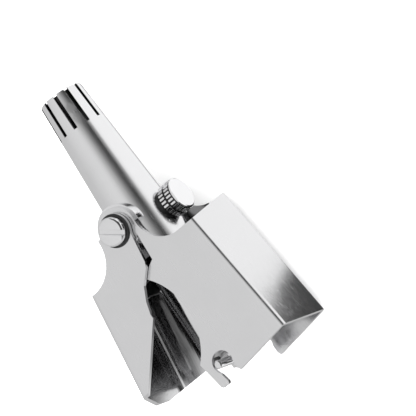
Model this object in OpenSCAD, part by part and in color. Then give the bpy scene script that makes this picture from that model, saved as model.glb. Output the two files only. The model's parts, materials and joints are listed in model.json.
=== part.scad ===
// Manual nose hair trimmer: a slotted barrel on a folded sheet housing, with a squeeze lever that
// turns an inner slotted cutter. The trimmer lies on its back: +Y runs along the barrel to its tip,
// +X points to the housing side and +Z is the front. Depths are measured down from the barrel tip.

/* [Barrel] */
// Outer radius of the barrel at its tip
tip_r = 4.57; // [4.2:0.01:4.8]
// Outer radius gained for each millimetre down the barrel
taper = 0.0567; // [0.05:0.001:0.06]
// Depth at which the barrel ends inside the housing
barrel_end = 36.5; // [36:0.1:36.8]
// Wall thickness of the barrel
barrel_wall = 0.8; // [0.7:0.05:0.85]
// Number of slots in the tip
slot_count = 11; // [9:1:12]
// Width of a slot
slot_w = 0.8; // [0.6:0.05:1]
// Length of a slot
slot_len = 7.9; // [6:0.1:8]
// Angle of the first slot from the front, towards the housing, in degrees
slot_from = 18; // [0:1:32]

/* [Cutter] */
// Outer radius of the inner cutter
cutter_r = 3.9; // [3.85:0.01:3.92]
// Length of the cutter cup
cutter_len = 9.6; // [9:0.1:9.8]
// Lean of the cutter's windows from the barrel's axis, in degrees
window_lean = 3.5; // [0:0.5:5]
// Radius of the shaft that carries the cutter
shaft_r = 2; // [1.6:0.1:2.2]
// Outer radius of the sleeve behind the bite
sleeve_r = 5.5; // [5.2:0.1:5.6]

/* [Sheet metal] */
// Thickness of the housing and lever sheet
sheet = 0.8; // [0.6:0.05:0.8]
// Height of the housing's front face above the barrel's axis
housing_z = 8.3; // [8.2:0.05:8.4]
// Height of the lever's front face above the barrel's axis
lever_z = 9.25; // [9.25:0.05:9.5]
// Outer bend radius of the sheet
bend_r = 1; // [0.9:0.05:1.2]
// Outer radius of the lever's bend at the back
back_bend_r = 6.5; // [2:0.1:6.6]

/* [Pivot] */
// Sideways place of the pivot screws
pivot_x = -1.5; // [-1.6:0.1:-1.4]
// Depth of the pivot screws
pivot_d = 29; // [28.9:0.1:29.2]
// Radius of the screw head
screw_head_r = 2.85; // [2.4:0.05:2.9]
// Height of the screw head
screw_head_h = 1.9; // [1.4:0.1:2.2]
// Radius of the screw's shoulder in the lever
shoulder_r = 1.6; // [1.4:0.05:1.8]
// Radius of the housing's ear
ear_r = 4.4; // [4.2:0.1:4.5]
// Radius of the bosses behind the housing's ears
boss_r = 4.9; // [4.3:0.1:5]
// Radius of the lever's ear
lever_ear_r = 3.3; // [3.2:0.1:3.5]

/* [Thumb screw] */
// Depth of the thumb screw
knob_d = 29.8; // [29.5:0.1:29.9]
// Radius of the knob over its teeth
knob_r = 3.45; // [3.2:0.05:3.5]
// Distance of the knob's cap face from the barrel's axis
knob_face_x = 10.3; // [10:0.1:10.6]
// Number of teeth in a row of the knurl
knurl_teeth = 28; // [20:2:32]

/* [Drive] */
// Depth of the drive stud
stud_d = 39; // [38.8:0.1:39.1]
// Radius at which the stud's ball stands from the barrel's axis
stud_ball_at = 6.6; // [6.5:0.05:6.65]
// Depth of the stop pin
pin_d = 61.5; // [61.4:0.1:61.6]
// Radius of the stop pin
pin_r = 0.85; // [0.8:0.05:0.9]

/* [Spring] */
// Wire radius of the return spring
wire_r = 0.25; // [0.2:0.05:0.3]
// Mean coil radius of the return spring
coil_r = 1.75; // [1.6:0.05:1.9]
// Number of coils in the return spring
coils = 6; // [5:1:7]

/* [Hidden] */
$fn = 96;

// The whole trimmer's length, and the shifts that centre its box on the origin
total_len = 65.7;
centre_x = 0.44;
run = 0.05;                                   // running clearance of a turning fit
shim_gap = 0.03;                              // play on each side of the lever's ears
screw_under = lever_z + shim_gap;             // underside of the screw head
rest_z = screw_under + screw_head_h;          // the back screw's face stands on the ground

// Housing outline, front view, as [x, depth]
housing_lean = 7.1;                           // lean of the right wall from the barrel's axis
housing_bend = [12.8, 36.4];                  // top of the right bend line
shoulder_at = [9.4, 29.9];                    // centre of the front plate's round shoulder
back_shoulder_at = [10.4, 26.7];              // centre of the back plate's, which stands higher
shoulder_cut_r = 6.6;
bite_at = [-11.9, 49.3];                      // centre of the large round bite
bite_r = 13.35;
notch_at = [1.28, 61.7];                      // centre of the round-topped notch for the stop pin
notch_r = 2.3;

// Lever outline, front view, as [x, depth]
lever_lean = 8.7;
lever_bend = [-13.4, 35.9];                   // top of the left bend line
lever_hollow_at = [-13.2, 28.65];             // centre of the round hollow beside the ear
lever_hollow_r = 7.25;
lever_end = 59.7;                             // depth at which the left wall ends

upper_bridge_d = 36.6;
lower_bridge_d = 58.2;
sleeve_top = 37.5;
sleeve_end = 57;
arm_z = [6, 7];                               // lower and upper face of the drive arm
rivet_z = [3.7, 5.2];                         // heights of the drive arm's rivets
wall_out = 0.95;                              // outer and inner face of the lever's wall
wall_in = wall_out - sheet;
spring_d = 39.6;
spring_from = -12.9;                          // the spring's end on the lever
spring_to = -7.55;                            // the spring's end on the upper bridge
bridge_tab_x = -7.5;
knob_under = 6.75;                            // underside of the knob

steel = [0.80, 0.80, 0.81];
bright = [0.90, 0.90, 0.91];
dull = [0.55, 0.56, 0.58];

function barrel_r(d) = tip_r + taper * d;

// Moves the trimmer's own axes, with depths along -Y, to the part's frame
module place() { translate([centre_x, total_len / 2, rest_z]) children(); }

// A solid turned about the barrel's axis from a profile of [radius, depth] points
module turned(profile)
    rotate([90, 0, 0]) rotate_extrude() polygon(profile);

// A cylinder along the barrel's axis between two depths
module along(r, from, to)
    translate([0, -from, 0]) rotate([90, 0, 0]) cylinder(r = r, h = to - from);

// A cylinder along +Z at [x, depth] between two heights
module upright(at, r, low, high)
    translate([at[0], -at[1], low]) cylinder(r = r, h = high - low);

// A cylinder along +X at a depth between two distances
module sideways(d, r, from, to)
    translate([from, -d, 0]) rotate([0, 90, 0]) cylinder(r = r, h = to - from);

// Turns an outline's [x, depth] points into plane points
function plane(points) = [for (p = points) [p[0], -p[1]]];

// Turns a thing that stands at the front to the place of the slot with this number
module at_slot(number) rotate([0, slot_from + number * 360 / slot_count, 0]) children();

// ---- barrel ----
module barrel() color(steel) place() difference() {
    turned([[3.95, 0.35], [4.05, 0], [tip_r - 0.42, 0], [tip_r - 0.14, 0.1], [tip_r, 0.42],
            [barrel_r(barrel_end), barrel_end], [barrel_r(barrel_end) - barrel_wall, barrel_end],
            [barrel_r(10.4) - barrel_wall, 10.4], [3.95, 9.9]]);
    for (i = [0 : slot_count - 1])
        at_slot(i) translate([-slot_w / 2, -slot_len, 3]) cube([slot_w, slot_len + 1, tip_r]);
    sideways(knob_d, 1.1, 3, 8);
}

// ---- housing: one folded sheet ----

// Closed U profile, open on its left, in the plane of [across, height]
module u_profile(width, z, r_front, r_back) difference() {
    rounded_block(width, z, r_front, r_back);
    translate([-sheet, 0])
        rounded_block(width, z - sheet, r_front - sheet, r_back - sheet);
}

// A block that ends at across = 0 on its right, with two rounded right corners
module rounded_block(width, z, r_front, r_back) {
    translate([-width, -z + r_back]) square([width, 2 * z - r_back - r_front]);
    translate([-width, -z]) square([width - r_back, r_back + 0.01]);
    translate([-width, z - r_front - 0.01]) square([width - r_front, r_front + 0.01]);
    translate([-r_back, -z + r_back]) circle(r_back);
    translate([-r_front, z - r_front]) circle(r_front);
}

// The U profile run along a leaning bend line that starts at the point at
module folded(at, lean, width, z, r_front, r_back, over)
    translate([at[0], -at[1], 0]) rotate([0, 0, lean])
        translate([over, 14, 0]) rotate([90, 0, 0])
            linear_extrude(60) u_profile(width, z, r_front, r_back);

module housing_outline(front) {
    shoulder = front ? shoulder_at : back_shoulder_at;
    difference() {
        union() {
            translate([pivot_x, -pivot_d]) circle(ear_r);
            polygon(plane([[1.6, shoulder[1]], shoulder, [30, shoulder[1]], [30, 61.9], [3.65, 65],
                           [3.3, 64.2], [3.3, notch_at[1]], [-0.6, notch_at[1]], [-0.6, 62.6], [0.05, 65.2],
                           [-0.2, 65.7], [-1.7, 65.7], [-2.1, 65.3], [-2.8, 61.5], [-3.3, 59.1],
                           [-3.3, 40.7], [-2.2, 39.9], [-0.1, 38.3], [1.25, 37.7], [1.6, 32]]));
        }
        translate([shoulder[0], -shoulder[1]]) circle(shoulder_cut_r);
        translate([bite_at[0], -bite_at[1]]) circle(bite_r);
        translate([notch_at[0], -notch_at[1]]) circle(notch_r);
        if (!front) translate([-10, -70]) square([12, 12]);
    }
}

// A prism along X between two distances, from a side outline of [height, depth] points
module side_prism(from, to, outline)
    translate([to, 0, 0]) rotate([0, -90, 0]) linear_extrude(to - from) polygon(plane(outline));

module housing() color(steel) place() difference() {
    intersection() {
        folded(housing_bend, housing_lean, 30, housing_z, bend_r, bend_r, wall_out);
        union() {
            linear_extrude(10) housing_outline(true);
            translate([0, 0, -10]) linear_extrude(10) housing_outline(false);
        }
    }
    // the right wall's top edge climbs from the front plate to the back plate
    side_prism(shoulder_at[0], 30, [[12, 20], [12, 37.21], [-12, 32.58], [-12, 20]]);
    upright([pivot_x, pivot_d], 1.25, -10, 10);
}

// ---- bosses between the ears and the barrel ----
module boss(side) place() mirror([0, 0, side]) difference() {
    upright([pivot_x, pivot_d], boss_r, 2, housing_z - sheet);
    turned([[0, 20], [barrel_r(20), 20], [barrel_r(36), 36], [0, 36]]);
    upright([pivot_x, pivot_d], 1.25, 0, 10);
    translate([0.4, -40, 0]) cube([5, 40 - pivot_d - 0.6, 10]);
}
module front_boss() color(bright) boss(0);
module back_boss() color(bright) boss(1);

// ---- pivot screws: slotted cheese heads on a shoulder ----
module pivot_screw(side, slot_turn) place() mirror([0, 0, side]) translate([pivot_x, -pivot_d, 0])
    difference() {
        rotate_extrude() polygon([[0, 6.45], [1, 6.45], [1.25, 6.7], [1.25, housing_z],
            [shoulder_r, housing_z], [shoulder_r, screw_under], [screw_head_r, screw_under],
            [screw_head_r, rest_z - 0.35], [screw_head_r - 0.35, rest_z], [0, rest_z]]);
        rotate([0, 0, slot_turn]) translate([-4, -0.5, rest_z - 0.9]) cube([8, 1, 2]);
    }
module front_pivot_screw() color(bright) pivot_screw(0, -35);
module back_pivot_screw() color(bright) pivot_screw(1, 20);

// ---- shims that keep the lever's ears off the housing's ears ----
module shim(side) place() mirror([0, 0, side]) difference() {
    upright([pivot_x, pivot_d], 2.9, housing_z, lever_z - sheet - shim_gap);
    upright([pivot_x, pivot_d], shoulder_r, 8, 9);
}
module front_shim() color(dull) shim(0);
module back_shim() color(dull) shim(1);

// ---- bridges between the front and back plates ----
module bridge_plate(d, left, right, thick)
    translate([left, -d - thick, -housing_z + sheet])
        cube([right - left, thick, 2 * (housing_z - sheet)]);

module upper_bridge() color(dull) place() {
    difference() {
        bridge_plate(upper_bridge_d, bridge_tab_x, 11.8, 0.8);
        along(sleeve_r + 0.45, 36, 38);
        translate([-8, -38, 5.5]) cube([12.4, 2, 3]);
    }
    translate([bridge_tab_x, -42, -3.2]) cube([0.8, 42 - upper_bridge_d - 0.4, 6.4]);
}

module lower_bridge() color(dull) place() difference() {
    bridge_plate(lower_bridge_d, -2.9, 14.4, 0.9);
    along(shaft_r + 1, 57, 60);
}

module shaft_bush() color("goldenrod") place() difference() {
    union() {
        along(shaft_r + 1, lower_bridge_d - 0.3, lower_bridge_d + 1.1);
        along(shaft_r + 1.6, lower_bridge_d - 0.7, lower_bridge_d);
    }
    along(shaft_r + run, 57, 61);
}

// ---- knob seat: round collar with the thumb screw's thread ----
module knob_seat() color(dull) place() difference() {
    sideways(knob_d, 2.4, 5, knob_under - 0.05);
    turned([[0, 20], [barrel_r(20), 20], [barrel_r(36), 36], [0, 36]]);
    sideways(knob_d, 1.1, 3, 8);
}

// ---- lever: one folded sheet ----
module lever_outline(front) difference() {
    union() {
        translate([pivot_x, -pivot_d]) circle(lever_ear_r);
        if (front)
            polygon(plane([[1.7, 30], [1.1, 31.4], [0.15, 37.3], [-0.4, 38.4], [-3.1, 40.9],
                           [-4.6, 43.5], [-5.4, 45.9], [-5.4, 46.8], [-16.9, 58.7], [-17.1, 70],
                           [-30, 70], [-30, 35.9], [-13.2, 35.9], [-13.2, 28.65], [-4.6, 28.4]]));
        else
            polygon(plane([[1.7, 30], [1.1, 31.4], [0.15, 37.3], [-0.4, 38.4], [-3.2, 44],
                           [-5.5, 60.4], [-7, 61], [-16, 66], [-17.1, 70],
                           [-30, 70], [-30, 35.9], [-13.2, 35.9], [-13.2, 28.65], [-4.6, 28.4]]));
    }
    translate([lever_hollow_at[0], -lever_hollow_at[1]]) circle(lever_hollow_r);
}

// Places things on the lever's leaning left wall: X points out of it and Y up along its bend line
module on_lever_wall()
    mirror([1, 0, 0]) translate([-lever_bend[0], -lever_bend[1], 0]) rotate([0, 0, lever_lean]) children();

module lever() color(steel) place() difference() {
    intersection() {
        mirror([1, 0, 0])
            folded([-lever_bend[0], lever_bend[1]], lever_lean, 30, lever_z, bend_r, back_bend_r, wall_out);
        union() {
            translate([0, 0, 4]) linear_extrude(10) lever_outline(true);
            translate([0, 0, -10]) linear_extrude(14) lever_outline(false);
        }
    }
    upright([pivot_x, pivot_d], shoulder_r + run, -10, 10);
    // the bottom edge climbs towards the back, and its front corner is cut at a slant
    side_prism(-30, 10, [[12, lever_end - 4], [5.5, lever_end], [0.6, lever_end], [-12, lever_end - 2.2],
                         [-12, 80], [12, 80]]);
    for (z = rivet_z)
        on_lever_wall() wall_pin(0.6, z, 0, 2);
}

// A cylinder through the lever's wall at a height, between two distances out of it
module wall_pin(r, z, from, to)
    translate([from, -3.2, z]) rotate([0, 90, 0]) cylinder(r = r, h = to - from);

// ---- drive arm: riveted inside the lever's wall, with the fork that the stud's ball runs in ----
module drive_arm() color(dull) place() difference() {
    union() {
        translate([-13.4, -40.2, arm_z[0]]) cube([14.9, 2.4, arm_z[1] - arm_z[0]]);
        on_lever_wall() translate([wall_in - 0.8, -4.4, 2.7]) cube([0.8, 2.4, arm_z[1] - 2.7]);
    }
    translate([-0.82, -41, 5]) cube([1.64, 2.8, 3]);
    for (z = rivet_z)
        on_lever_wall() wall_pin(0.6, z, -2, 1);
}

module arm_rivets() color(bright) place() for (z = rivet_z) on_lever_wall() {
    wall_pin(0.6, z, wall_in - 0.8, wall_out);
    wall_pin(0.72, z, wall_in - 1.15, wall_in - 0.8);
    wall_pin(0.72, z, wall_out, wall_out + 0.25);
}

// ---- return spring and its post ----
module spring_post() color(dull) place() on_lever_wall() {
    translate([0, -0.5, 0]) wall_pin(2.3, 0, wall_in - 0.7, wall_in);
    translate([0, -0.5, 0]) wall_pin(1.2, 0, wall_in - 2.4, wall_in - 0.7);
}

module coil_turn(x) translate([x, -spring_d, 0]) rotate([0, 90, 0])
    rotate_extrude() translate([coil_r, 0]) circle(wire_r, $fn = 24);

module return_spring() color(bright) place() union() {
    pitch = (spring_to - spring_from - 2 * wire_r) / (coils - 1);
    for (i = [0 : coils - 1]) coil_turn(spring_from + wire_r + i * pitch);
    for (i = [0 : coils - 2])
        rotate_link(i, pitch);
}

// A short straight link that joins one turn of the spring to the next
module rotate_link(i, pitch)
    translate([spring_from + wire_r + i * pitch, -spring_d, 0]) rotate([i * 180, 0, 0])
        translate([0, coil_r, 0]) rotate([0, 90, 0]) cylinder(r = wire_r, h = pitch, $fn = 24);

// ---- cutter ----
module cutter() color(dull) place() difference() {
    turned([[0, cutter_len], [0, cutter_len - 1.2], [cutter_r - 0.6, cutter_len - 1.2],
            [cutter_r - 0.6, 0.5], [cutter_r - 0.35, 0.3], [cutter_r, 0.4], [cutter_r, cutter_len]]);
    for (i = [0 : slot_count - 1])
        at_slot(i) translate([0, -slot_len, cutter_r - 0.9]) rotate([0, 0, window_lean])
            translate([-0.5, 0, 0]) cube([1, 9, 1.6]);
    along(shaft_r, 5, 12);
}

module cutter_shaft() color(bright) place() union() {
    along(shaft_r, cutter_len - 1.6, pin_d + 1.2);
    along(shaft_r - 0.5, cutter_len - 2, pin_d + 1.5);
}

module cutter_sleeve() color(bright) place() difference() {
    turned([[sleeve_r - 0.7, sleeve_end - 0.9], [sleeve_r - 0.7, sleeve_top + 1.5],
            [shaft_r, sleeve_top + 1.5], [shaft_r, sleeve_top], [sleeve_r - 0.2, sleeve_top],
            [sleeve_r, sleeve_top + 0.2], [sleeve_r, sleeve_end - 0.2], [sleeve_r - 0.2, sleeve_end],
            [shaft_r, sleeve_end], [shaft_r, sleeve_end - 0.9]]);
    upright([0, stud_d], 0.45, 4, 7);
}

module locating_collar() color(dull) place()
    turned([[shaft_r, knob_d - 3], [4.9, knob_d - 3], [4.9, knob_d - 1.2], [4.1, knob_d - 1.2],
            [4.1, knob_d + 1.2], [4.9, knob_d + 1.2], [4.9, knob_d + 3], [shaft_r, knob_d + 3]]);

module drive_stud() color(bright) place() union() {
    upright([0, stud_d], 0.45, sleeve_r - 0.7, stud_ball_at);
    translate([0, -stud_d, stud_ball_at]) sphere(0.75, $fn = 48);
}

module stop_pin() color(bright) place() translate([0, -pin_d, 0]) difference() {
    rotate_extrude() polygon([[0, 1], [pin_r, 1], [pin_r, housing_z - 0.25],
                              [pin_r - 0.25, housing_z], [0, housing_z]]);
    translate([0, 4, 0]) rotate([90, 0, 0]) cylinder(r = shaft_r, h = 8);
}

module retaining_ring() color(dull) place() difference() {
    along(shaft_r + 0.9, lower_bridge_d + 1.2, lower_bridge_d + 1.7);
    along(shaft_r, 59, 60.5);
}

// ---- thumb screw ----
module knob() color(bright) place() translate([0, -knob_d, 0]) rotate([0, 90, 0]) difference() {
    rotate_extrude() polygon([[0, knob_under], [knob_r - 0.9, knob_under], [knob_r - 0.35, knob_under + 0.3],
        [knob_r, knob_under + 0.55], [knob_r, knob_under + 1.45], [knob_r - 0.35, knob_under + 1.6],
        [knob_r - 0.35, knob_under + 1.8], [knob_r, knob_under + 1.95], [knob_r, knob_face_x - 0.7],
        [knob_r - 0.12, knob_face_x - 0.55], [knob_r - 0.12, knob_face_x - 0.25],
        [knob_r - 0.38, knob_face_x], [0, knob_face_x]]);
    for (i = [0 : knurl_teeth - 1])
        rotate([0, 0, i * 360 / knurl_teeth])
            translate([knob_r - 0.22, -0.15, knob_under - 0.1]) cube([1, 0.3, knob_face_x - 0.62 - knob_under + 0.1]);
}

module knob_stem() color(dull) place() union() {
    sideways(knob_d, 1.05, 5, knob_under);
    sideways(knob_d, 0.9, 4.3, 5);
}

barrel();
housing();
front_boss();
back_boss();
front_pivot_screw();
back_pivot_screw();
front_shim();
back_shim();
upper_bridge();
lower_bridge();
shaft_bush();
knob_seat();
lever();
drive_arm();
arm_rivets();
spring_post();
return_spring();
cutter();
cutter_shaft();
cutter_sleeve();
locating_collar();
drive_stud();
stop_pin();
retaining_ring();
knob();
knob_stem();
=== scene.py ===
# %% [markdown]
# A manual nose hair trimmer in stainless steel: a slotted barrel on a folded sheet housing, a squeeze
# lever, a knurled thumb screw and two slotted pivot screws. The CAD frame gives every place and size, and
# this lesson gives each piece its crisp edges and its own brushed or polished finish.

# %% Load the frame
import json
import math

import bmesh
import bpy
from mathutils import Matrix, Vector


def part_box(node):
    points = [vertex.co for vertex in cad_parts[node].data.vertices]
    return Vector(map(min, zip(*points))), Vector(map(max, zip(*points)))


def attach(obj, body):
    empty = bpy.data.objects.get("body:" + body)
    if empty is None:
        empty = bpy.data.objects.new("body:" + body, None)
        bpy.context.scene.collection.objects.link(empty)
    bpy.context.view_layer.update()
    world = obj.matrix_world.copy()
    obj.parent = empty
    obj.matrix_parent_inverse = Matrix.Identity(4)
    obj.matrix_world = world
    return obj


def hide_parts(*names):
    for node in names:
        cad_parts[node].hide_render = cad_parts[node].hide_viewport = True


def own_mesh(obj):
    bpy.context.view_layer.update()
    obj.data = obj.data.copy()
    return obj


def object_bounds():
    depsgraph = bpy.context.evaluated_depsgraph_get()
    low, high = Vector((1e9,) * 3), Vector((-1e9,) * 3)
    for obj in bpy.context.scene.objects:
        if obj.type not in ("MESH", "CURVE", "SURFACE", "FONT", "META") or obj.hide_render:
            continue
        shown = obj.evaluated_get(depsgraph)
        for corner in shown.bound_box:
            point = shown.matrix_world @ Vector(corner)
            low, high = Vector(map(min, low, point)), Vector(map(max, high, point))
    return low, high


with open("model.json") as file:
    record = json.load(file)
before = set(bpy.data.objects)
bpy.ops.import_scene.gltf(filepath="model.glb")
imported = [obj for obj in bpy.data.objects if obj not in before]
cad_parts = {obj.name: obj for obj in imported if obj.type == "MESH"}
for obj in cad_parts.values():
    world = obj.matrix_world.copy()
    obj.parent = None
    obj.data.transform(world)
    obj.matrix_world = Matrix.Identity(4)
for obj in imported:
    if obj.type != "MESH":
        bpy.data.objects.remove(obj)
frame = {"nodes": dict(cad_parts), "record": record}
cad_low, cad_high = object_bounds()
MM = 0.001
print("the trimmer measures", [round(v / MM, 1) for v in cad_high - cad_low], "mm")

# %% [markdown]
# The barrel's axis is the line that everything else is measured from. Its place comes from the barrel's own
# box: the barrel is round, so the middle of its box in X and Z is its axis, and its top in Y is the tip.

# %% Find the barrel's axis and tip
barrel_low, barrel_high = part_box("barrel")
axis_x = (barrel_low.x + barrel_high.x) / 2
axis_z = (barrel_low.z + barrel_high.z) / 2
tip_y = barrel_high.y
tip = Vector((axis_x, tip_y, axis_z))
print("the barrel's tip is at", [round(v / MM, 2) for v in tip])

# %% [markdown]
# The camera stands 30 degrees to the housing's side of the front plates and a little towards the handle, and
# it is rolled so that the barrel points to the upper left. It could stand close with a short lens, but a long
# lens from far away keeps the sheet metal's lines straight and parallel, as a catalogue picture does.

# %% Place the camera
SIDE_ANGLE = math.radians(30)
HANDLE_ANGLE = math.radians(9.4)
ROLL = math.atan2(0.565, 0.825)
FRAME_WIDTH = 80 * MM
TIP_LEFT_OF_MIDDLE = 28.4 * MM
TIP_ABOVE_MIDDLE = 21.6 * MM
CAMERA_DISTANCE = 1500 * MM
SENSOR = 36.0

towards = Vector((math.sin(SIDE_ANGLE) * math.cos(HANDLE_ANGLE), -math.sin(HANDLE_ANGLE),
                  math.cos(SIDE_ANGLE) * math.cos(HANDLE_ANGLE)))
level_right = Vector((0, 1, 0)).cross(towards).normalized()
level_up = towards.cross(level_right)
right = level_right * math.cos(ROLL) - level_up * math.sin(ROLL)
up = level_right * math.sin(ROLL) + level_up * math.cos(ROLL)
target = tip + right * TIP_LEFT_OF_MIDDLE - up * TIP_ABOVE_MIDDLE

camera_data = bpy.data.cameras.new("camera")
camera_data.sensor_width = SENSOR
camera_data.lens = SENSOR * CAMERA_DISTANCE / FRAME_WIDTH
camera_data.clip_start = 0.01
camera = bpy.data.objects.new("camera", camera_data)
bpy.context.scene.collection.objects.link(camera)
camera.matrix_world = Matrix((
    (right.x, up.x, towards.x, target.x + towards.x * CAMERA_DISTANCE),
    (right.y, up.y, towards.y, target.y + towards.y * CAMERA_DISTANCE),
    (right.z, up.z, towards.z, target.z + towards.z * CAMERA_DISTANCE),
    (0, 0, 0, 1)))
bpy.context.scene.camera = camera
print("the camera looks from", [round(v, 3) for v in camera.location])

# %% [markdown]
# Polished steel shows little but its surroundings, so the studio is half of the material. This one is what a
# small product studio would rig round a bright metal tool: a grey wall on the lever's side, a pale ceiling,
# one black card on the housing's side to draw a dark line down the barrel, and a big white card below it. The
# sky colour depends only on the direction round the barrel, and each card blends softly into the next.

# %% Build the studio sky
# each card's place in degrees from straight up, positive towards +X, and its brightness
STUDIO_CARDS = {
    "ground on the lever's side": (-180, 0.50),
    "grey wall": (-90, 0.60),
    "pale ceiling": (0, 0.75),
    "black card": (60, 0.04),
    "white card": (90, 1.0),
    "ground on the housing's side": (180, 1.0),
}


def studio_sky():
    world = bpy.data.worlds.new("studio_sky")
    bpy.context.scene.world = world
    world.use_nodes = True
    nodes, links = world.node_tree.nodes, world.node_tree.links
    direction = nodes.new("ShaderNodeTexCoord")
    split = nodes.new("ShaderNodeSeparateXYZ")
    angle = nodes.new("ShaderNodeMath")
    angle.operation = "ARCTAN2"
    share = nodes.new("ShaderNodeMapRange")
    share.inputs["From Min"].default_value = -math.pi
    share.inputs["From Max"].default_value = math.pi
    bands = nodes.new("ShaderNodeValToRGB")
    links.new(direction.outputs["Generated"], split.inputs[0])
    links.new(split.outputs["X"], angle.inputs[0])
    links.new(split.outputs["Z"], angle.inputs[1])
    links.new(angle.outputs[0], share.inputs["Value"])
    links.new(share.outputs[0], bands.inputs[0])
    links.new(bands.outputs[0], nodes["Background"].inputs["Color"])
    ramp = bands.color_ramp
    ramp.interpolation = "EASE"
    cards = list(STUDIO_CARDS.values())
    ramp.elements[0].position = 0
    ramp.elements[1].position = 1
    for degrees, _ in cards[1:-1]:
        ramp.elements.new((degrees + 180) / 360)
    for stop, (_, bright) in zip(ramp.elements, cards):
        stop.color = (bright, bright, bright, 1)


studio_sky()
bpy.context.scene.view_settings.view_transform = "Standard"
print("the studio has", len(STUDIO_CARDS), "cards")

# %% [markdown]
# One large soft lamp overhead whitens the floor and gives the trimmer a faint soft shadow. A small lamp would
# cut a hard shadow instead. The lamp is kept out of the metal's reflections, because its round face would
# show as a spot on every polished surface.

# %% Hang the soft lamp
LAMP_HEIGHT = 0.9
LAMP_WIDTH = 2.4
LAMP_WATTS = 34.0


def soft_lamp(place, aim, size, watts):
    light = bpy.data.lights.new("soft_lamp", "AREA")
    light.shape = "DISK"
    light.size = size
    light.energy = watts
    lamp = bpy.data.objects.new("soft_lamp", light)
    bpy.context.scene.collection.objects.link(lamp)
    lamp.location = place
    lamp.rotation_mode = "QUATERNION"
    lamp.rotation_quaternion = (Vector(aim) - Vector(place)).to_track_quat("-Z", "Y")
    lamp.visible_glossy = False


middle = (cad_low + cad_high) / 2
soft_lamp(middle + Vector((0, 0, LAMP_HEIGHT)), middle, LAMP_WIDTH, LAMP_WATTS)
print("the lamp hangs", LAMP_HEIGHT, "m above the trimmer")

# %% [markdown]
# The floor is a wide pale sheet that meets the ground level under the trimmer. Reflections pass through it to
# the studio's cards, because a mirror-bright floor would wash the barrel's lower edge out to plain white. It
# glows a little, as a light table does, so that the trimmer's soft shadow stays faint.

# %% Lay the floor
FLOOR_REACH = 3.0
FLOOR_GLOW = 0.25


def level_sheet(name, half_x, half_y, centre, grey, rough):
    """A level rectangle in a plain paint, and the paint's shader."""
    sheet = bpy.data.meshes.new(name)
    shape = bmesh.new()
    bmesh.ops.create_grid(shape, x_segments=1, y_segments=1, size=1)
    bmesh.ops.scale(shape, verts=shape.verts, vec=(half_x, half_y, 1))
    bmesh.ops.translate(shape, verts=shape.verts, vec=centre)
    shape.to_mesh(sheet)
    shape.free()
    item = bpy.data.objects.new(name, sheet)
    bpy.context.scene.collection.objects.link(item)
    paint = bpy.data.materials.new(name + "_paint")
    paint.use_nodes = True
    shader = paint.node_tree.nodes["Principled BSDF"]
    shader.inputs["Base Color"].default_value = (grey, grey, grey, 1)
    shader.inputs["Roughness"].default_value = rough
    sheet.materials.append(paint)
    return item, shader


floor, floor_shader = level_sheet("floor", FLOOR_REACH, FLOOR_REACH, (0, 0, cad_low.z), 0.95, 0.9)
floor_shader.inputs["Specular IOR Level"].default_value = 0.1
floor_shader.inputs["Emission Color"].default_value = (1, 1, 1, 1)
floor_shader.inputs["Emission Strength"].default_value = FLOOR_GLOW
floor.visible_glossy = False
print("the floor reaches", FLOOR_REACH, "m each way")

# %% [markdown]
# The housing's side wall is flat, so it mirrors one single patch of the studio. A black card lying low beyond
# the handle's half gives that wall its fall from white near the barrel to dark at the handle. A darker sky
# could not do this, because the sky looks the same from every point along the wall.

# %% Lay the black card
CARD_HALF_X, CARD_HALF_Y = 30 * MM, 28 * MM
CARD_BEYOND_HOUSING, CARD_BACK, CARD_DOWN = 24 * MM, 38 * MM, 30 * MM

card, _ = level_sheet("black_card", CARD_HALF_X, CARD_HALF_Y,
                      (cad_high.x + CARD_BEYOND_HOUSING, -CARD_BACK, -CARD_DOWN), 0.06, 1.0)
card.visible_camera = False
print("the black card lies", round(CARD_DOWN / MM), "mm below the ground")

# %% [markdown]
# All parts but one small bush are steel, and the finishes differ only in grain, gloss and tone. Brushing
# leaves fine parallel lines: a noise that is stretched along the grain drives the roughness and a shallow
# bump, and a second, broad noise adds the faint clouds of handling. Scratches are a third noise, cut off
# sharply. Little light gets deep into a fold, so the finish for the insides is also darkened from the open
# end inwards, as painted shade.

# %% Make a steel finish
LINE_SIZE, CLOUD_SIZE, SCRATCH_SIZE = 5000, 160, 1400
LINE_SWING = 0.06
CLOUD_SHADE = 0.012
BLUE_TINT = 1.01


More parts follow.
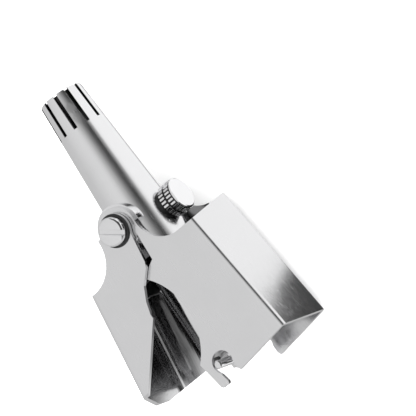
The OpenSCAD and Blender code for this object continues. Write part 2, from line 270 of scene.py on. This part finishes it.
def steel(name, tone, rough, grain=(1, 1, 1), grain_depth=0.15, cloud=0.03, scratch=0.02, mottle=0.02,
          darkens=None):
    """A steel finish. darkens is painted shade, given as (where in Y it is darkest, where it starts, the
    share of its tone left).
    """
    finish = bpy.data.materials.new(name)
    finish.use_nodes = True
    nodes, links = finish.node_tree.nodes, finish.node_tree.links
    shader = nodes["Principled BSDF"]
    shader.inputs["Metallic"].default_value = 1.0
    coords = nodes.new("ShaderNodeTexCoord")

    def noise(stretch, size, detail):
        mapping = nodes.new("ShaderNodeMapping")
        mapping.inputs["Scale"].default_value = [v * size for v in stretch]
        texture = nodes.new("ShaderNodeTexNoise")
        texture.inputs["Scale"].default_value = 1.0
        texture.inputs["Detail"].default_value = detail
        texture.inputs["Roughness"].default_value = 0.6
        links.new(coords.outputs["Object"], mapping.inputs["Vector"])
        links.new(mapping.outputs["Vector"], texture.inputs["Vector"])
        return texture.outputs["Fac"]

    def ranged(value, low, high, from_low=0.3, from_high=0.7):
        node = nodes.new("ShaderNodeMapRange")
        node.inputs["From Min"].default_value = from_low
        node.inputs["From Max"].default_value = from_high
        node.inputs["To Min"].default_value = low
        node.inputs["To Max"].default_value = high
        links.new(value, node.inputs["Value"])
        return node.outputs["Result"]

    def joined(operation, first, second):
        node = nodes.new("ShaderNodeMath")
        node.operation = operation
        links.new(first, node.inputs[0])
        links.new(second, node.inputs[1])
        return node.outputs[0]

    lines = noise(grain, LINE_SIZE, 4)
    clouds = noise((1, 1, 1), CLOUD_SIZE, 3)
    marks = ranged(noise(grain, SCRATCH_SIZE, 2), 0.0, 1.0, 0.68, 0.74)
    uneven = joined("ADD", ranged(clouds, -cloud, cloud), ranged(marks, 0.0, scratch, 0.0, 1.0))
    roughness = joined("ADD", ranged(lines, rough - LINE_SWING, rough + LINE_SWING), uneven)
    links.new(roughness, shader.inputs["Roughness"])
    shade = joined("ADD", ranged(lines, tone - mottle, tone + mottle),
                   ranged(clouds, -CLOUD_SHADE, CLOUD_SHADE))
    # painted shade: the tone falls from the open end towards the deep end of a fold
    if darkens:
        deep_y, mouth_y, deep_share = darkens
        place = nodes.new("ShaderNodeSeparateXYZ")
        links.new(coords.outputs["Object"], place.inputs[0])
        shade = joined("MULTIPLY", shade, ranged(place.outputs["Y"], 1.0, deep_share, mouth_y, deep_y))
    bluer = nodes.new("ShaderNodeMath")
    bluer.operation = "MULTIPLY"
    bluer.inputs[1].default_value = BLUE_TINT
    links.new(shade, bluer.inputs[0])
    tint = nodes.new("ShaderNodeCombineColor")
    links.new(shade, tint.inputs["Red"])
    links.new(shade, tint.inputs["Green"])
    links.new(bluer.outputs[0], tint.inputs["Blue"])
    links.new(tint.outputs["Color"], shader.inputs["Base Color"])
    bump = nodes.new("ShaderNodeBump")
    bump.inputs["Strength"].default_value = grain_depth
    bump.inputs["Distance"].default_value = 0.01 * MM
    links.new(lines, bump.inputs["Height"])
    links.new(bump.outputs["Normal"], shader.inputs["Normal"])
    return finish


# %% [markdown]
# One recipe now makes every finish in the trimmer. The sheet and the barrel are brushed along the barrel, and
# the screws and the knob's cap are polished on the lathe. The cutter and the grooves are painted nearly black
# as shade, since hardly any light reaches the bottom of a narrow slot.

# %% Mix the finishes
ALONG_BARREL = (1, 0.03, 1)
sheet_steel = steel("satin_sheet", 0.84, 0.22, ALONG_BARREL, grain_depth=0.04, mottle=0.008)
barrel_steel = steel("brushed_barrel", 0.88, 0.2, ALONG_BARREL, grain_depth=0.06, mottle=0.01)
polished_steel = steel("polished_turning", 0.9, 0.12, grain_depth=0.04)
mirror_steel = steel("mirror_cap", 0.93, 0.06, grain_depth=0.02, cloud=0.02, mottle=0.01)
# the insides of the folds: painted shade, darker towards their deep end
inner_steel = steel("shaded_inside", 0.8, 0.15, ALONG_BARREL, grain_depth=0.02, scratch=0.01, mottle=0.01,
                    darkens=(-20 * MM, cad_low.y + 6 * MM, 0.3))
# the cutter, its rim, the bore and the slot walls: painted shade, near black
slot_shade_steel = steel("painted_slot_shade", 0.05, 0.4, ALONG_BARREL, mottle=0.01)
dull_steel = steel("turned_steel", 0.5, 0.3)
# the knob's core, its collar, the head washers and the shims: painted shade, near black
crevice_shade_steel = steel("painted_crevice_shade", 0.06, 0.45)
blued_steel = steel("blued_strip", 0.12, 0.35)
brass = steel("turned_brass", 0.7, 0.25)
print("the paints and finishes are", [paint.name for paint in bpy.data.materials])

# %% [markdown]
# A CAD part has razor edges that no pressed or turned part has. A copy of each node is merged, its flat
# triangles are dissolved, and a small bevel rounds every sharp edge, so that each edge catches a thin line of
# light as the real sheet does. The bevel is a modifier, so that its width can still be changed afterwards.

# %% Round the edges of a CAD part
SHARP = math.radians(32)
MERGE_WITHIN = 0.001 * MM
NEARLY_FLAT = math.radians(0.2)


def body_of(node):
    for body, members in frame["record"]["behaviour"]["bodies"].items():
        if node in members:
            return body


def settle(piece, node):
    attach(piece, body_of(node))
    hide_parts(node)


def new_piece(name, shape, finishes):
    mesh = bpy.data.meshes.new(name)
    shape.to_mesh(mesh)
    shape.free()
    for finish in finishes:
        mesh.materials.append(finish)
    piece = bpy.data.objects.new(name, mesh)
    bpy.context.scene.collection.objects.link(piece)
    mesh.shade_smooth()
    return piece


def broken_edges(piece, edge):
    piece.data.set_sharp_from_angle(angle=SHARP)
    rounding = piece.modifiers.new("rounding", "BEVEL")
    rounding.width = edge
    rounding.segments = 2
    rounding.limit_method = "ANGLE"
    rounding.angle_limit = SHARP
    rounding.harden_normals = True
    rounding.use_clamp_overlap = True


def rounded_part(node, name, edge, finishes, inside=None):
    """A copy of a CAD node with rounded edges. inside(centre, normal) picks the second finish's faces."""
    shape = bmesh.new()
    shape.from_mesh(frame["nodes"][node].data)
    bmesh.ops.remove_doubles(shape, verts=shape.verts, dist=MERGE_WITHIN)
    bmesh.ops.dissolve_limit(shape, angle_limit=NEARLY_FLAT, verts=shape.verts, edges=shape.edges)
    for face in shape.faces:
        face.smooth = True
        face.material_index = 1 if inside and inside(face.calc_center_median(), face.normal) else 0
    piece = new_piece(name, shape, finishes)
    broken_edges(piece, edge)
    settle(piece, node)


# %% [markdown]
# The housing and the lever are each one strip of sheet, folded twice into a channel. Their outsides are
# brushed, and their insides take the finish with painted shade, darker towards the deep end of the fold. A
# face is inside where it looks back at the barrel's axis, so one test of its normal tells the two apart, and
# no face has to be picked by hand.

# %% Round the two folded sheets
INWARDS = -0.3
SHEET_EDGE = 0.11 * MM


def out_of_axis(point):
    """The unit vector from the barrel's axis towards a point."""
    return Vector((point.x - axis_x, 0, point.z - axis_z)).normalized()


def faces_axis(centre, normal):
    return normal.dot(out_of_axis(centre)) < INWARDS


rounded_part("housing", "housing_shell", SHEET_EDGE, [sheet_steel, inner_steel], faces_axis)
rounded_part("lever", "lever_shell", SHEET_EDGE, [sheet_steel, inner_steel], faces_axis)
print("rounded both sheets by", round(SHEET_EDGE / MM, 2), "mm")

# %% [markdown]
# The barrel is a turned and tapered tube with slots sawn into its tip. Its bore and the walls of its slots
# take the cutter's painted shade, near black, so that the slots read as thin black lines. Those walls face
# sideways, neither along the barrel nor out of it, which is how they are found.

# %% Round the barrel
SIDEWAYS = 0.3
ACROSS = 0.5


def inside_barrel(centre, normal):
    outwards = normal.dot(out_of_axis(centre))
    return outwards < INWARDS or (abs(normal.y) < ACROSS and abs(outwards) < SIDEWAYS)


rounded_part("barrel", "barrel_tube", 0.09 * MM, [barrel_steel, slot_shade_steel], inside_barrel)
print("rounded the barrel,", round((barrel_high.y - barrel_low.y) / MM, 1), "mm long")

# %% [markdown]
# The small turned and stamped parts only need their edges broken. How much depends on how each was made: a
# screw's head is chamfered on the lathe, and a thin shim is hardly rounded at all.

# %% Round the small parts
# each node's edge rounding in millimetres, and its finish
# the shims and the cutter take painted shade, near black
SMALL_PARTS = {
    "front_boss": (0.08, polished_steel), "back_boss": (0.08, polished_steel),
    "front_pivot_screw": (0.07, polished_steel), "back_pivot_screw": (0.07, polished_steel),
    "front_shim": (0.02, crevice_shade_steel), "back_shim": (0.02, crevice_shade_steel),
    "upper_bridge": (0.08, blued_steel), "lower_bridge": (0.08, dull_steel),
    "drive_arm": (0.06, blued_steel), "arm_rivets": (0.05, polished_steel),
    "spring_post": (0.06, dull_steel), "cutter": (0.04, slot_shade_steel),
    "cutter_shaft": (0.08, polished_steel), "cutter_sleeve": (0.08, polished_steel),
    "locating_collar": (0.06, dull_steel), "drive_stud": (0.02, polished_steel),
    "stop_pin": (0.05, polished_steel), "retaining_ring": (0.04, dull_steel),
    "knob_stem": (0.05, dull_steel), "shaft_bush": (0.05, brass),
}
for node, (edge, finish) in SMALL_PARTS.items():
    rounded_part(node, node + "_metal", edge * MM, [finish])
print("rounded", len(SMALL_PARTS), "small parts")

# %% [markdown]
# The cutter's cup ends in a plain unslotted rim that ties its teeth together. It stands just inside the tip
# of the barrel, where it closes the tops of the slots and keeps the light from shining through them. A ring
# is round all the way, so its section is drawn once and spun about the barrel's axis.

# %% Turn the cutter's rim
cutter_low, cutter_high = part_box("cutter")
RIM_DEEP = 1.7 * MM
RIM_WALL = 0.55 * MM
RIM_CHAMFER = 0.1 * MM
SEAM = 0.002 * MM
rim_outer = (cutter_high.x - cutter_low.x) / 2 - 0.02 * MM
rim_inner = rim_outer - RIM_WALL


def turn(shape, profile, centre, axis):
    """Spin a profile of (radius, distance along the axis) points about an axis through the centre."""
    side = Vector((0, 0, 1)) if abs(axis.z) < 0.5 else Vector((1, 0, 0))
    corners = [shape.verts.new(centre + side * radius + axis * distance) for radius, distance in profile]
    edges = [shape.edges.new(pair) for pair in zip(corners, corners[1:])]
    bmesh.ops.spin(shape, geom=corners + edges, cent=centre, axis=axis, angle=2 * math.pi, steps=96,
                   use_merge=True, use_duplicate=False)
    bmesh.ops.remove_doubles(shape, verts=shape.verts, dist=SEAM)
    bmesh.ops.recalc_face_normals(shape, faces=shape.faces)


rim_foot = Vector((axis_x, cutter_high.y - RIM_DEEP, axis_z))
rim_shape = bmesh.new()
turn(rim_shape, [(rim_inner, 0), (rim_outer, 0), (rim_outer, RIM_DEEP - RIM_CHAMFER),
                 (rim_outer - RIM_CHAMFER, RIM_DEEP), (rim_inner, RIM_DEEP), (rim_inner, 0)],
     rim_foot, Vector((0, 1, 0)))
# the rim takes the same painted shade as the cutter, near black
cutter_rim = new_piece("cutter_rim", rim_shape, [slot_shade_steel])
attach(cutter_rim, "cutter")
print("the rim is", round(2 * rim_outer / MM, 2), "mm across")

# %% [markdown]
# The thumb screw is the detail the eye goes to. Its core is turned: an undercut groove between two raised
# bands, and a mirror-bright cap. The core is painted near black as shade, since little light gets in between
# the teeth. Each band is then knurled into separate teeth, so the teeth are real blocks set round the core,
# with their own bevels, and not a bump in the material.

# %% Find the thumb screw's axis and size
knob_low, knob_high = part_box("knob")
knob_y = (knob_low.y + knob_high.y) / 2
knob_z = (knob_low.z + knob_high.z) / 2
knob_radius = (knob_high.z - knob_low.z) / 2
knob_depth = knob_high.x - knob_low.x
print("the thumb screw is", round(2 * knob_radius / MM, 2), "mm across")

# %% Turn the thumb screw's core
CORE, TEETH, CAP = 0, 1, 2
foot = Vector((knob_low.x, knob_y, knob_z))
X_AXIS = Vector((1, 0, 0))
TOOTH_DEEP = 0.42 * MM
CAP_THICK = 0.5 * MM
UNDERCUT = 0.12 * MM
core_radius = knob_radius - TOOTH_DEEP
cap_foot = knob_depth - CAP_THICK
knob_shape = bmesh.new()
turn(knob_shape, [(0, 0), (core_radius - 0.25 * MM, 0), (core_radius, 0.2 * MM),
                  (core_radius, cap_foot - UNDERCUT),
                  (core_radius - UNDERCUT, cap_foot - UNDERCUT / 2),
                  (core_radius - UNDERCUT, cap_foot),
                  (knob_radius - 0.2 * MM, cap_foot), (knob_radius - 0.12 * MM, knob_depth - 0.38 * MM),
                  (knob_radius - 0.16 * MM, knob_depth - 0.16 * MM), (knob_radius - 0.4 * MM, knob_depth),
                  (0, knob_depth)], foot, X_AXIS)
for face in knob_shape.faces:
    on_cap = face.calc_center_median().x > foot.x + cap_foot - 0.01 * MM
    face.material_index = CAP if on_cap else CORE
print("turned a core of", len(knob_shape.faces), "faces")

# %% Knurl its two bands
TEETH_ROUND = 28
BAND_GAP = 0.42 * MM
BAND_FROM = 0.25 * MM
TOOTH_ROOT = 0.2 * MM
TOOTH_SHARE = 0.55
band_deep = (cap_foot - BAND_FROM - BAND_GAP - UNDERCUT) / 2
tooth_wide = TOOTH_SHARE * 2 * math.pi * knob_radius / TEETH_ROUND
for band in range(2):
    middle_x = foot.x + BAND_FROM + band_deep / 2 + band * (band_deep + BAND_GAP)
    for count in range(TEETH_ROUND):
        tooth = bmesh.ops.create_cube(knob_shape, size=1)["verts"]
        bmesh.ops.scale(knob_shape, verts=tooth, vec=(band_deep, tooth_wide, TOOTH_DEEP + TOOTH_ROOT))
        bmesh.ops.translate(knob_shape, verts=tooth,
                            vec=(0, 0, core_radius + (TOOTH_DEEP - TOOTH_ROOT) / 2))
        turned_by = Matrix.Rotation(2 * math.pi * (count + band / 2) / TEETH_ROUND, 3, "X")
        bmesh.ops.rotate(knob_shape, verts=tooth, cent=(0, 0, 0), matrix=turned_by)
        bmesh.ops.translate(knob_shape, verts=tooth, vec=(middle_x, knob_y, knob_z))
        for face in {face for vert in tooth for face in vert.link_faces}:
            face.material_index = TEETH

# the core is painted near black as shade; the teeth and the cap are bright steel
thumb_knob = new_piece("thumb_knob", knob_shape, [crevice_shade_steel, polished_steel, mirror_steel])
broken_edges(thumb_knob, 0.06 * MM)
settle(thumb_knob, "knob")
print("knurled", 2 * TEETH_ROUND, "teeth")

# %% [markdown]
# Under the knob a collar, painted near black as shade, closes the gap to the round barrel. It is turned a
# little wider than the knob's core, and its foot runs on into the barrel's wall so that no gap shows on the
# curve.

# %% Turn the collar under the knob
_, seat_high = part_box("knob_seat")
COLLAR_BORE, COLLAR_RADIUS, COLLAR_DEEP = 1.15 * MM, 3.0 * MM, 1.4 * MM
collar_shape = bmesh.new()
collar_foot = Vector((seat_high.x - 0.02 * MM - COLLAR_DEEP, knob_y, knob_z))
turn(collar_shape, [(COLLAR_BORE, 0), (COLLAR_RADIUS, 0), (COLLAR_RADIUS, COLLAR_DEEP - 0.25 * MM),
                    (COLLAR_RADIUS - 0.2 * MM, COLLAR_DEEP), (COLLAR_BORE, COLLAR_DEEP), (COLLAR_BORE, 0)],
     collar_foot, X_AXIS)
knob_collar = new_piece("knob_collar", collar_shape, [crevice_shade_steel])
broken_edges(knob_collar, 0.05 * MM)
settle(knob_collar, "knob_seat")
print("the collar is", round(2 * COLLAR_RADIUS / MM, 1), "mm across")

# %% [markdown]
# Each pivot screw bears on a thin spring washer, painted near black as shade, which shows as a dark ring
# round the bright head.
# The front and the back screw are alike, so one function turns both washers, facing opposite ways.

# %% Turn the washers under the screw heads
lever_low, lever_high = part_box("lever")
HEAD_GAP, WASHER_WALL, WASHER_DEEP = 0.03 * MM, 0.5 * MM, 0.45 * MM


def head_washer(name, screw, outward):
    low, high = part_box(screw)
    centre = Vector(((low.x + high.x) / 2, (low.y + high.y) / 2, 0))
    centre.z = (lever_high.z if outward > 0 else lever_low.z) + outward * 0.02 * MM
    head = (high.x - low.x) / 2
    bore = head + HEAD_GAP
    washer_shape = bmesh.new()
    turn(washer_shape, [(bore, 0), (head + WASHER_WALL, 0), (head + WASHER_WALL - 0.08 * MM, 0.3 * MM),
                        (bore, WASHER_DEEP), (bore, 0)], centre, Vector((0, 0, outward)))
    washer = new_piece(name, washer_shape, [crevice_shade_steel])
    broken_edges(washer, 0.03 * MM)
    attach(washer, body_of(screw))


head_washer("front_head_washer", "front_pivot_screw", 1)
head_washer("back_head_washer", "back_pivot_screw", -1)
print("turned two washers", round(WASHER_DEEP / MM, 2), "mm deep")

# %% [markdown]
# The return spring is a real helix: a small circle of wire is spun about the spring's axis and carried along
# it at the same time. A curve with a bevel could make it too, but the spin gives a plain mesh at once.
# It stands between the lever's wall and the frame.

# %% Wind the return spring
WIRE, TURNS, STEPS_A_TURN = 0.25 * MM, 6, 32
spring_low, spring_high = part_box("return_spring")
spring_middle = (spring_low + spring_high) / 2
mean_radius = (spring_high.z - spring_low.z) / 2 - WIRE
travel = spring_high.x - spring_low.x - 2 * WIRE
wire_shape = bmesh.new()
wire_end = bmesh.ops.create_circle(wire_shape, cap_ends=False, radius=WIRE, segments=12)["verts"]
bmesh.ops.rotate(wire_shape, verts=wire_end, cent=(0, 0, 0), matrix=Matrix.Rotation(math.pi / 2, 3, "X"))
bmesh.ops.translate(wire_shape, verts=wire_end,
                    vec=(spring_low.x + WIRE, spring_middle.y, spring_middle.z + mean_radius))
first_end = list(wire_shape.edges)
coiled = bmesh.ops.spin(wire_shape, geom=wire_end + first_end, cent=spring_middle, axis=X_AXIS,
                        dvec=(travel / (TURNS * STEPS_A_TURN), 0, 0), angle=2 * math.pi * TURNS,
                        steps=TURNS * STEPS_A_TURN, use_merge=False, use_duplicate=False)
last_end = [part for part in coiled["geom_last"] if isinstance(part, bmesh.types.BMEdge)]
bmesh.ops.contextual_create(wire_shape, geom=first_end)
bmesh.ops.contextual_create(wire_shape, geom=last_end)
bmesh.ops.recalc_face_normals(wire_shape, faces=wire_shape.faces)
spring_wire = new_piece("spring_wire", wire_shape, [polished_steel])
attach(spring_wire, "frame")
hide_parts("return_spring")
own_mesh(spring_wire)
print("wound", TURNS, "turns of spring wire")
